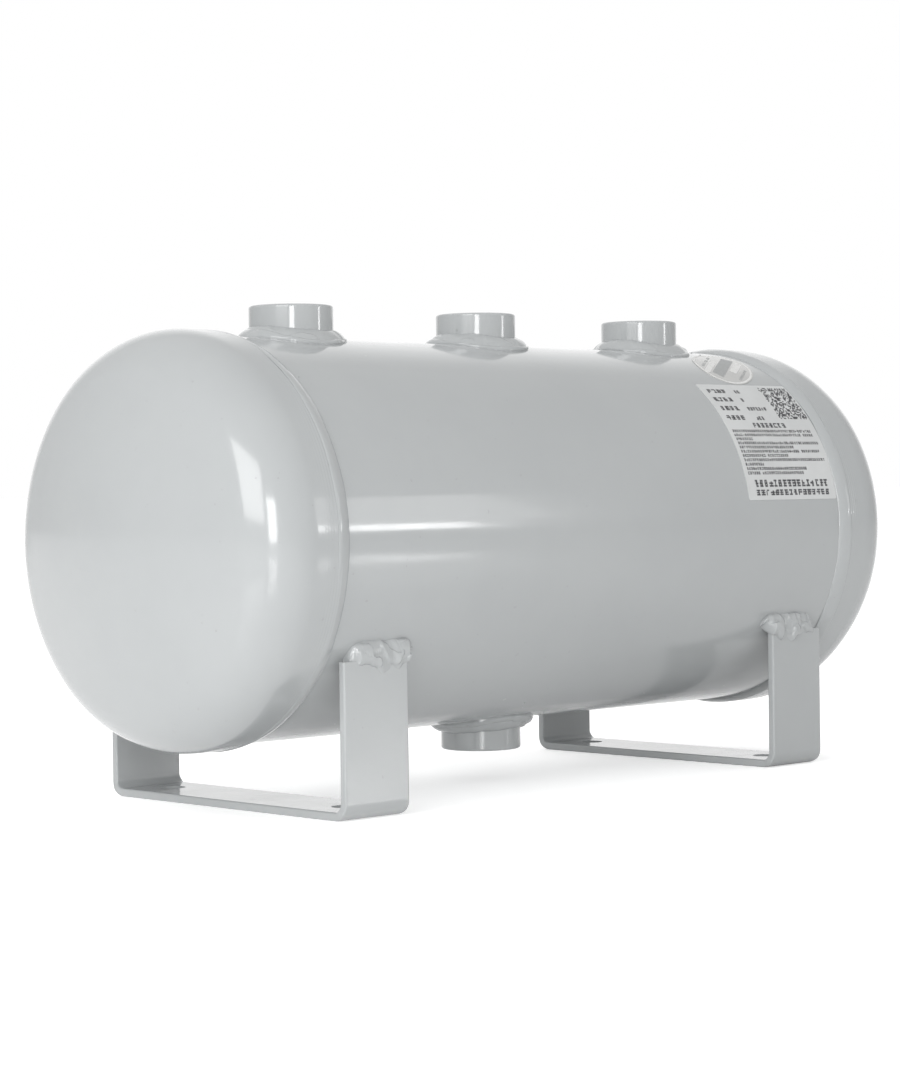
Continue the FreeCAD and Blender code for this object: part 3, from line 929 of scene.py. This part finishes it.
def make_bracket(name, side):
    """A foot bent from flat bar, with its bolt holes drilled."""
    rows = bar_route()
    x = BAR_MIDDLE * side
    places = [(x, y, z) for y, z, *_ in rows]
    made = new_object(name, places, [(k, k + 1) for k in range(len(rows) - 1)], [])
    store(made, "middle", places)
    store(made, "outward", [(0, oy, oz) for _, _, oy, oz, _ in rows])
    store(made, "flare", [f * BEND_FLARE / (BAR_WIDTH / 2) for *_, f in rows])
    section = bar_section()
    grow(made, BENT_BAR, {"Section": section, "Finish": bar_enamel})
    bpy.data.objects.remove(section)
    face_outward(made, 0.002 * MM)
    centres = [(x, way * (LEG_FACE - BOLT_INSET), BAR_THICKNESS / 2) for way in FACES.values()]
    drilled(made, centres, BOLT_HOLE, 4 * BAR_THICKNESS, 64, bar_enamel)
    face_outward(made, 0.002 * MM)
    softened = made.modifiers.new("edges", "BEVEL")
    softened.width = BAR_BURR
    softened.segments = 2
    softened.limit_method = "ANGLE"
    softened.angle_limit = math.radians(40)
    flat = made.modifiers.new("flats", "WEIGHTED_NORMAL")
    flat.keep_sharp = True
    made.data.shade_smooth()
    return keep_piece(made, name + "_foot", bar_enamel, "painted_bracket", name + "_bracket")


# ---------------------------------------------------------------- stickers

LABEL_MIDDLE_X = (label_low.x + label_high.x) / 2
LABEL_HALF_WIDTH = (label_high.x - label_low.x) / 2
LABEL_LOW_TURN = math.asin((label_low.z - AXIS_HEIGHT) / SHELL_RADIUS)
LABEL_HIGH_TURN = math.asin(min(1.0, (label_high.z - AXIS_HEIGHT) / (SHELL_RADIUS + LABEL_THICKNESS)))
LABEL_HEIGHT = (LABEL_HIGH_TURN - LABEL_LOW_TURN) * SHELL_RADIUS
LABEL_TURN = (LABEL_LOW_TURN + LABEL_HIGH_TURN) / 2
OVAL_MIDDLE_X = (oval_low.x + oval_high.x) / 2
OVAL_TURN = math.radians(64.5)  # of its middle, over the horizontal


def bent_spot(x, turn, above):
    """A point above the front of the shell, at an angle over the horizontal."""
    radius = SHELL_RADIUS + above
    return x, -radius * math.cos(turn), AXIS_HEIGHT + radius * math.sin(turn)


def make_film(name, rings, spot, material, slot, node):
    """A thin closed patch on the shell from rings of flat points that shrink to a middle point."""
    levels = (LABEL_THICKNESS, -LABEL_SINK)
    points, faces = [], []
    count = len(rings[0])
    for above in levels:
        points += [spot(a, b, above) for ring in rings for a, b in ring] + [spot(0.0, 0.0, above)]
    sheet = count * len(rings) + 1
    for level in range(2):
        base = level * sheet
        for r in range(len(rings) - 1):
            for k in range(count):
                a, b = base + r * count + k, base + r * count + (k + 1) % count
                faces.append((a, b, b + count, a + count))
        last = base + (len(rings) - 1) * count
        faces += [(last + k, last + (k + 1) % count, base + sheet - 1) for k in range(count)]
    faces += [(k, (k + 1) % count, sheet + (k + 1) % count, sheet + k) for k in range(count)]
    made = new_object(name, points, [], faces)
    face_outward(made)
    shade(made)
    return keep_piece(made, name, material, slot, node)


def data_spot(a, b, above):
    return bent_spot(LABEL_MIDDLE_X + a, LABEL_TURN + b / SHELL_RADIUS, above)


def oval_spot(a, b, above):
    across = a * math.cos(OVAL_TILT) - b * math.sin(OVAL_TILT)
    up = a * math.sin(OVAL_TILT) + b * math.cos(OVAL_TILT)
    return bent_spot(OVAL_MIDDLE_X + across, OVAL_TURN + up / SHELL_RADIUS, above)


def rectangle_ring(half_width, half_height, corner, steps):
    """The outline of a rectangle with rounded corners, its sides cut in steps."""
    ring = []
    for quarter in range(4):
        sign_a = 1 if quarter in (0, 3) else -1
        sign_b = 1 if quarter in (0, 1) else -1
        centre = (sign_a * (half_width - corner), sign_b * (half_height - corner))
        ring += arc(centre, corner, quarter * math.pi / 2, (quarter + 1) * math.pi / 2, 4)
    dense = []
    for k, first in enumerate(ring):
        second = ring[(k + 1) % len(ring)]
        parts = steps if math.dist(first, second) > 4 * corner else 1
        dense += [tuple(a + (b - a) * j / parts for a, b in zip(first, second)) for j in range(parts)]
    return dense


def make_data_label():
    outer = rectangle_ring(LABEL_HALF_WIDTH, LABEL_HEIGHT / 2, LABEL_CORNER, 22)
    rings = [[(a * share, b * share) for a, b in outer] for share in (1.0, 0.99, 0.8, 0.6, 0.4, 0.2)]
    return make_film("data_sticker", rings, data_spot, label_film, "data_label_film", "data_label")


def make_oval_label():
    rings = [[(share * OVAL_LONG * math.cos(t), share * OVAL_SHORT * math.sin(t)) for t in around(72)]
             for share in (1.0, 0.98, 0.8, 0.6, 0.4, 0.2)]
    return make_film("oval_sticker", rings, oval_spot, oval_film, "oval_label_film", "oval_label")


def print_tree():
    """Lays a small flat bar of ink at each point and bends the lot round the shell."""
    inputs = {"Middle X": ("Float", 0.0), "Middle Turn": ("Float", 0.0), "Tilt": ("Float", 0.0),
              "Tank Radius": ("Float", 0.07), "Axis Height": ("Float", 0.1), "Finish": ("Material", None)}
    tree, given = new_tree("printed_marks", inputs)
    block = add_node(tree, "GeometryNodeMeshCube", {}, {"Size": (1.0, 1.0, 1.0)})
    size = named(tree, "mark_size", "FLOAT_VECTOR")
    inputs = {"Points": given["Geometry"], "Instance": Field(tree, block.outputs["Mesh"]), "Scale": size}
    marks = add_node(tree, "GeometryNodeInstanceOnPoints", {}, inputs)
    real = add_node(tree, "GeometryNodeRealizeInstances", {}, {0: Field(tree, marks.outputs[0])})
    a, b, above = Field(tree, tree.nodes.new("GeometryNodeInputPosition").outputs[0]).parts()
    cos, sin = given["Tilt"].math("COSINE"), given["Tilt"].math("SINE")
    x = given["Middle X"] + a * cos - b * sin
    turn = given["Middle Turn"] + (a * sin + b * cos) / given["Tank Radius"]
    radius = given["Tank Radius"] + above
    y = radius * turn.math("COSINE") * -1
    z = given["Axis Height"] + radius * turn.math("SINE")
    inputs = {"Geometry": Field(tree, real.outputs[0]), "Position": combine(tree, x, y, z)}
    bent = add_node(tree, "GeometryNodeSetPosition", {}, inputs)
    close_tree(tree, Field(tree, bent.outputs[0]), given["Finish"])
    return tree


PRINT = print_tree()


def print_marks(name, marks, middle_x, middle_turn, tilt, material, slot):
    """Marks are (left, bottom, width, height) on the flat sticker."""
    above = LABEL_THICKNESS + INK_STAND
    made = new_object(name, [(a + w / 2, b + h / 2, above) for a, b, w, h in marks], [], [])
    store(made, "mark_size", [(w, h, INK_THICKNESS) for _, _, w, h in marks])
    values = {"Middle X": middle_x, "Middle Turn": middle_turn, "Tilt": tilt, "Tank Radius": SHELL_RADIUS,
              "Axis Height": AXIS_HEIGHT, "Finish": material}
    grow(made, PRINT, values)
    return keep_piece(made, name, material, slot)


def row_of_marks(draw, left, bottom, length, height, pitch, fill=0.92):
    """One line of print as a run of small blocks, most of them split in two or three strokes."""
    marks = []
    x = left
    while x + pitch * 0.8 < left + length:
        if draw.random() < fill:
            wide = pitch * draw.uniform(0.70, 0.90)
            for level in range(3):
                if draw.random() < 0.86:
                    stroke = wide * draw.uniform(0.6, 1.0)
                    shift = draw.uniform(0, wide - stroke)
                    marks.append((x + shift, bottom + height * (0.36 * level), stroke, height * 0.24))
            for _ in range(draw.choice((1, 1, 2))):
                post = draw.uniform(0.05, 0.72) * wide
                marks.append((x + post, bottom, wide * 0.24, height * draw.uniform(0.7, 0.95)))
        x += pitch
    return marks


def data_marks():
    """Print of the data sticker: headed rows, a block of cells and lines of small print."""
    draw = random.Random(11)
    width, height = 2 * LABEL_HALF_WIDTH, LABEL_HEIGHT

    def spot(u, v):
        return (u - 0.5) * width, (v - 0.5) * height

    marks = []
    for k in range(4):
        left, bottom = spot(0.06, 0.90 - 0.089 * k)
        marks += row_of_marks(draw, left, bottom, 0.22 * width, 2.3 * MM, 2.9 * MM, 0.8)
        left, _ = spot(0.36, 0)
        marks += row_of_marks(draw, left, bottom, (0.10, 0.06, 0.22, 0.12)[k] * width, 1.9 * MM, 1.7 * MM)
    left, bottom = spot(0.66, 0.645)
    cells = 27
    cell = 0.325 * width / cells
    for row in range(cells):
        for column in range(cells):
            if draw.random() < 0.46:
                marks.append((left + column * cell, bottom + row * cell, cell * 0.92, cell * 0.92))
    left, bottom = spot(0.30, 0.565)
    marks += row_of_marks(draw, left, bottom, 0.40 * width, 2.3 * MM, 2.6 * MM, 1.0)
    for k, length in enumerate((0.90, 0.91, 0.20, 0.92, 0.62, 0.90, 0.52, 0.93, 0.22, 0.70, 0.64)):
        left, bottom = spot(0.04, 0.523 - 0.0335 * k)
        marks += row_of_marks(draw, left, bottom, length * width, 1.25 * MM, 1.3 * MM, 0.97)
    for k, tall in enumerate((3.0, 2.4)):
        left, bottom = spot(0.09, 0.095 - 0.062 * k)
        marks += row_of_marks(draw, left, bottom, 0.84 * width, tall * MM, 2.9 * MM, 1.0)
    return marks


def tiled(left, bottom, width, height):
    """A stripe of print in tiles small enough to bend round the shell."""
    across, up = round(width / MM), round(height / MM)
    wide, tall = width / across, height / up
    return [(left + i * wide, bottom + j * tall, wide, tall) for i in range(across) for j in range(up)]


def oval_band():
    """The oval sticker's grey middle band and its rows of small print."""
    draw = random.Random(5)
    marks = tiled(-14 * MM, -2.6 * MM, 28 * MM, 5.0 * MM)
    marks += row_of_marks(draw, -11 * MM, 6.6 * MM, 20 * MM, 1.2 * MM, 1.6 * MM)
    return marks + row_of_marks(draw, -8 * MM, -9.6 * MM, 17 * MM, 1.2 * MM, 1.6 * MM)


def oval_rim_and_glare():
    """The oval sticker's pale rim and the pale stripes beside its band: pale ink painted as the glare and
    shine of the glossy sticker, a painted highlight.
    """
    # Two pale stripes of painted glare beside the band
    marks = tiled(-16 * MM, 3.2 * MM, 20 * MM, 2.4 * MM) + tiled(-3 * MM, -6.4 * MM, 16 * MM, 3.0 * MM)
    # A ring of pale ink painted as the shine of the sticker's clear glossy edge
    for turn in around(150):
        a, b = (OVAL_LONG - 0.9 * MM) * math.cos(turn), (OVAL_SHORT - 0.9 * MM) * math.sin(turn)
        marks.append((a - 0.45 * MM, b - 0.45 * MM, 0.9 * MM, 0.9 * MM))
    return marks


# ---------------------------------------------------------------- weld spatter

def spatter_tree():
    """A half-sunk, painted-over drop of metal at each point."""
    tree, given = new_tree("weld_spatter", {"Finish": ("Material", None)})
    ball = add_node(tree, "GeometryNodeMeshIcoSphere", {}, {"Radius": 1.0, "Subdivisions": 3})
    size = named(tree, "size", "FLOAT_VECTOR")
    inputs = {"Points": given["Geometry"], "Instance": Field(tree, ball.outputs["Mesh"]), "Scale": size}
    drops = add_node(tree, "GeometryNodeInstanceOnPoints", {}, inputs)
    close_tree(tree, Field(tree, drops.outputs[0]), given["Finish"])
    return tree


SPECKS_PER_BOSS = 7
SPECKS_PER_END = 9


def make_spatter():
    """Specks thrown on the shell beside the beads, more of them close in."""
    draw = random.Random(8)
    spots = []
    for name, way in PORTS.items():
        for _ in range(SPECKS_PER_BOSS):
            turn, gap = draw.uniform(0, TURN), 1.2 * MM + draw.expovariate(1) * 5 * MM
            reach = BOSS_RADIUS + BOSS_WELD_REACH + gap
            x, y = boss_middle(name) + reach * math.cos(turn), reach * math.sin(turn)
            spots.append((x, y, AXIS_HEIGHT + way * math.sqrt(SHELL_RADIUS ** 2 - y ** 2)))
    for side in SIDES.values():
        for _ in range(SPECKS_PER_END):
            turn, gap = draw.uniform(0, TURN), 1.0 * MM + draw.expovariate(1) * 5 * MM
            x = side * (WELD_TOE - gap)
            spots.append((x, SHELL_RADIUS * math.sin(turn), AXIS_HEIGHT + SHELL_RADIUS * math.cos(turn)))
    kept = [p for p in spots if abs(p[0]) < WELD_TOE - 1 * MM]
    made = new_object("weld_specks", kept, [], [])
    store(made, "size", [(draw.uniform(0.22, 0.42) * MM,) * 3 for _ in kept])
    grow(made, spatter_tree(), {"Finish": weld_enamel})
    shade(made)
    return keep_piece(made, "weld_specks", weld_enamel, "painted_weld")


# ---------------------------------------------------------------- the tank

make_shell()
for end, side in SIDES.items():
    make_head(end + "_dish", side)
    lay_head_weld(end + "_lap_weld", side, 41 + 10 * (side > 0))
    make_bracket(end, side)
    for face, way in FACES.items():
        lay_leg_weld(f"{end}_bracket_{face}_blob", side, way, 70 + 9 * (side > 0) + 3 * (way > 0))
for port, way in PORTS.items():
    make_boss(port, way)
for number, (port, way) in enumerate(PORTS.items()):
    lay_boss_weld(port, way, 12 + 7 * number, heavy=way < 0)
lay_seam_weld()
make_spatter()
make_data_label()
make_oval_label()
print_marks("data_print", data_marks(), LABEL_MIDDLE_X, LABEL_TURN, 0.0, label_ink, "data_label_film")
print_marks("oval_print", oval_band(), OVAL_MIDDLE_X, OVAL_TURN, OVAL_TILT, oval_grey, "oval_label_film")
# Painted highlights on the oval sticker: pale glare stripes and rim shine
print_marks("oval_edging", oval_rim_and_glare(), OVAL_MIDDLE_X, OVAL_TURN, OVAL_TILT, oval_painted_glare, "oval_label_film")


# ---------------------------------------------------------------- studio

FLOOR_REACH = 30.0
FLOOR_GREY = 0.86
FLOOR_GLOW = 0.45  # as the camera sees it
FLOOR_GLOW_LEFT = 0.42  # as it lights the tank, to the left of FLOOR_FADE
FLOOR_GLOW_RIGHT = 0.08
FLOOR_FADE = (-0.30, 0.12)
FLOOR_SHEEN = 0.12  # roughness for the light that it throws back
FLOOR_MATT = 0.90  # roughness to look at
ROOM_LIGHT = 0.63
ROOM_TO_RIGHT = -0.09
ROOM_TO_BACK = -0.05
ROOM_UP = 0.16
BACKDROP_GLOW = 0.55
BACKDROP_WAY = (0.695, 0.719)  # towards the back and right
BACKDROP_EDGE = (0.70, 0.96)

# Each panel: azimuth and elevation in degrees, distance, width, height, watts, seen in the enamel
PANELS = {
    "near_strip": (-41.0, 9.0, 1.6, 0.34, 0.50, 5.0, True),
    "near_panel": (-67.5, 20.0, 1.6, 0.84, 0.74, 8.8, True),
    "far_strip": (39.8, 4.7, 2.6, 0.24, 0.11, 0.9, True),
    "far_panel": (40.5, 12.0, 2.6, 0.42, 0.50, 1.0, True),
    "back_panel": (165.0, 48.0, 2.2, 1.5, 1.0, 12.0, False),
}

CAMERA_AZIMUTH = 44.145  # degrees, from the front round to the left
CAMERA_PITCH = 1.096
CAMERA_ROLL = -0.745
CAMERA_TARGET = (-0.01535, 0.0, 0.09434)
CAMERA_DISTANCE = 1.06
CAMERA_LENS = 91.72


def make_floor():
    """A plain pale floor, matt to look at but smooth enough to throw light up under the tank."""
    corners = [(x * FLOOR_REACH, y * FLOOR_REACH, 0) for x, y in ((-1, -1), (1, -1), (1, 1), (-1, 1))]
    floor = new_object("floor", corners, [], [(0, 1, 2, 3)])
    material, tree, shader, place = new_material("pale_floor")
    shader.inputs["Base Color"].default_value = (FLOOR_GREY, FLOOR_GREY, FLOOR_GREY, 1.0)
    shader.inputs["Emission Color"].default_value = (1.0, 1.0, 1.0, 1.0)
    x, _, _ = place.parts()
    seen = Field(tree, tree.nodes.new("ShaderNodeLightPath").outputs["Is Camera Ray"])
    bounce = x.ramp(*FLOOR_FADE, FLOOR_GLOW_LEFT, FLOOR_GLOW_RIGHT)
    put(tree, shader.inputs["Emission Strength"], seen * FLOOR_GLOW + seen.flipped() * bounce)
    put(tree, shader.inputs["Roughness"], seen * (FLOOR_MATT - FLOOR_SHEEN) + FLOOR_SHEEN)
    floor.data.materials.append(material)


def make_room():
    """A white backdrop, and soft light that is stronger from the left than from the right."""
    world = bpy.data.worlds.new("studio")
    bpy.context.scene.world = world
    world.use_nodes = True
    tree = world.node_tree
    background = tree.nodes["Background"]
    background.inputs["Color"].default_value = (1.0, 1.0, 1.0, 1.0)
    way = Field(tree, tree.nodes.new("ShaderNodeTexCoord").outputs["Generated"])
    x, y, z = way.parts()
    glow = x * ROOM_TO_RIGHT + y * ROOM_TO_BACK + z * ROOM_UP + ROOM_LIGHT
    to_backdrop = x * BACKDROP_WAY[0] + y * BACKDROP_WAY[1]
    glow = glow + to_backdrop.ramp(*BACKDROP_EDGE) * BACKDROP_GLOW
    seen = Field(tree, tree.nodes.new("ShaderNodeLightPath").outputs["Is Camera Ray"])
    backdrop = seen + seen.flipped() * glow.math("MAXIMUM", 0.0)
    put(tree, background.inputs["Strength"], backdrop)


def hang_light(name, azimuth, elevation, distance, width, height, power, mirrored):
    """A soft panel that faces the tank. Azimuth 0 is in front, and 90 is to the right."""
    a, e = math.radians(azimuth), math.radians(elevation)
    way = Vector((math.sin(a) * math.cos(e), -math.cos(a) * math.cos(e), math.sin(e)))
    data = bpy.data.lights.new(name, "AREA")
    data.shape = "RECTANGLE"
    data.size, data.size_y = width, height
    data.energy = power
    lamp = bpy.data.objects.new(name, data)
    bpy.context.scene.collection.objects.link(lamp)
    lamp.location = Vector((0, 0, AXIS_HEIGHT)) + way * distance
    lamp.rotation_mode = "QUATERNION"
    lamp.rotation_quaternion = way.to_track_quat("Z", "Y")
    lamp.visible_camera = False
    lamp.visible_glossy = mirrored


def make_camera():
    """A long-lens camera, low in front and to the left, with a slight roll."""
    azimuth, pitch, roll = (math.radians(d) for d in (CAMERA_AZIMUTH, CAMERA_PITCH, CAMERA_ROLL))
    level = math.cos(pitch)
    back = Vector((-math.sin(azimuth) * level, -math.cos(azimuth) * level, math.sin(pitch)))
    data = bpy.data.cameras.new("camera")
    data.lens = CAMERA_LENS
    data.sensor_width = 36.0
    data.clip_start, data.clip_end = 0.05, 100.0
    camera = bpy.data.objects.new("camera", data)
    bpy.context.scene.collection.objects.link(camera)
    camera.location = Vector(CAMERA_TARGET) + back * CAMERA_DISTANCE
    level_right = (-back).cross(Vector((0, 0, 1))).normalized()
    level_up = level_right.cross(-back)
    right = level_right * math.cos(roll) + level_up * math.sin(roll)
    up = level_up * math.cos(roll) - level_right * math.sin(roll)
    camera.rotation_mode = "QUATERNION"
    camera.rotation_quaternion = Matrix((right, up, back)).transposed().to_quaternion()
    bpy.context.scene.camera = camera


make_floor()
make_room()
for name, facts in PANELS.items():
    hang_light(name, *facts)
make_camera()
bpy.context.scene.view_settings.view_transform = "Standard"
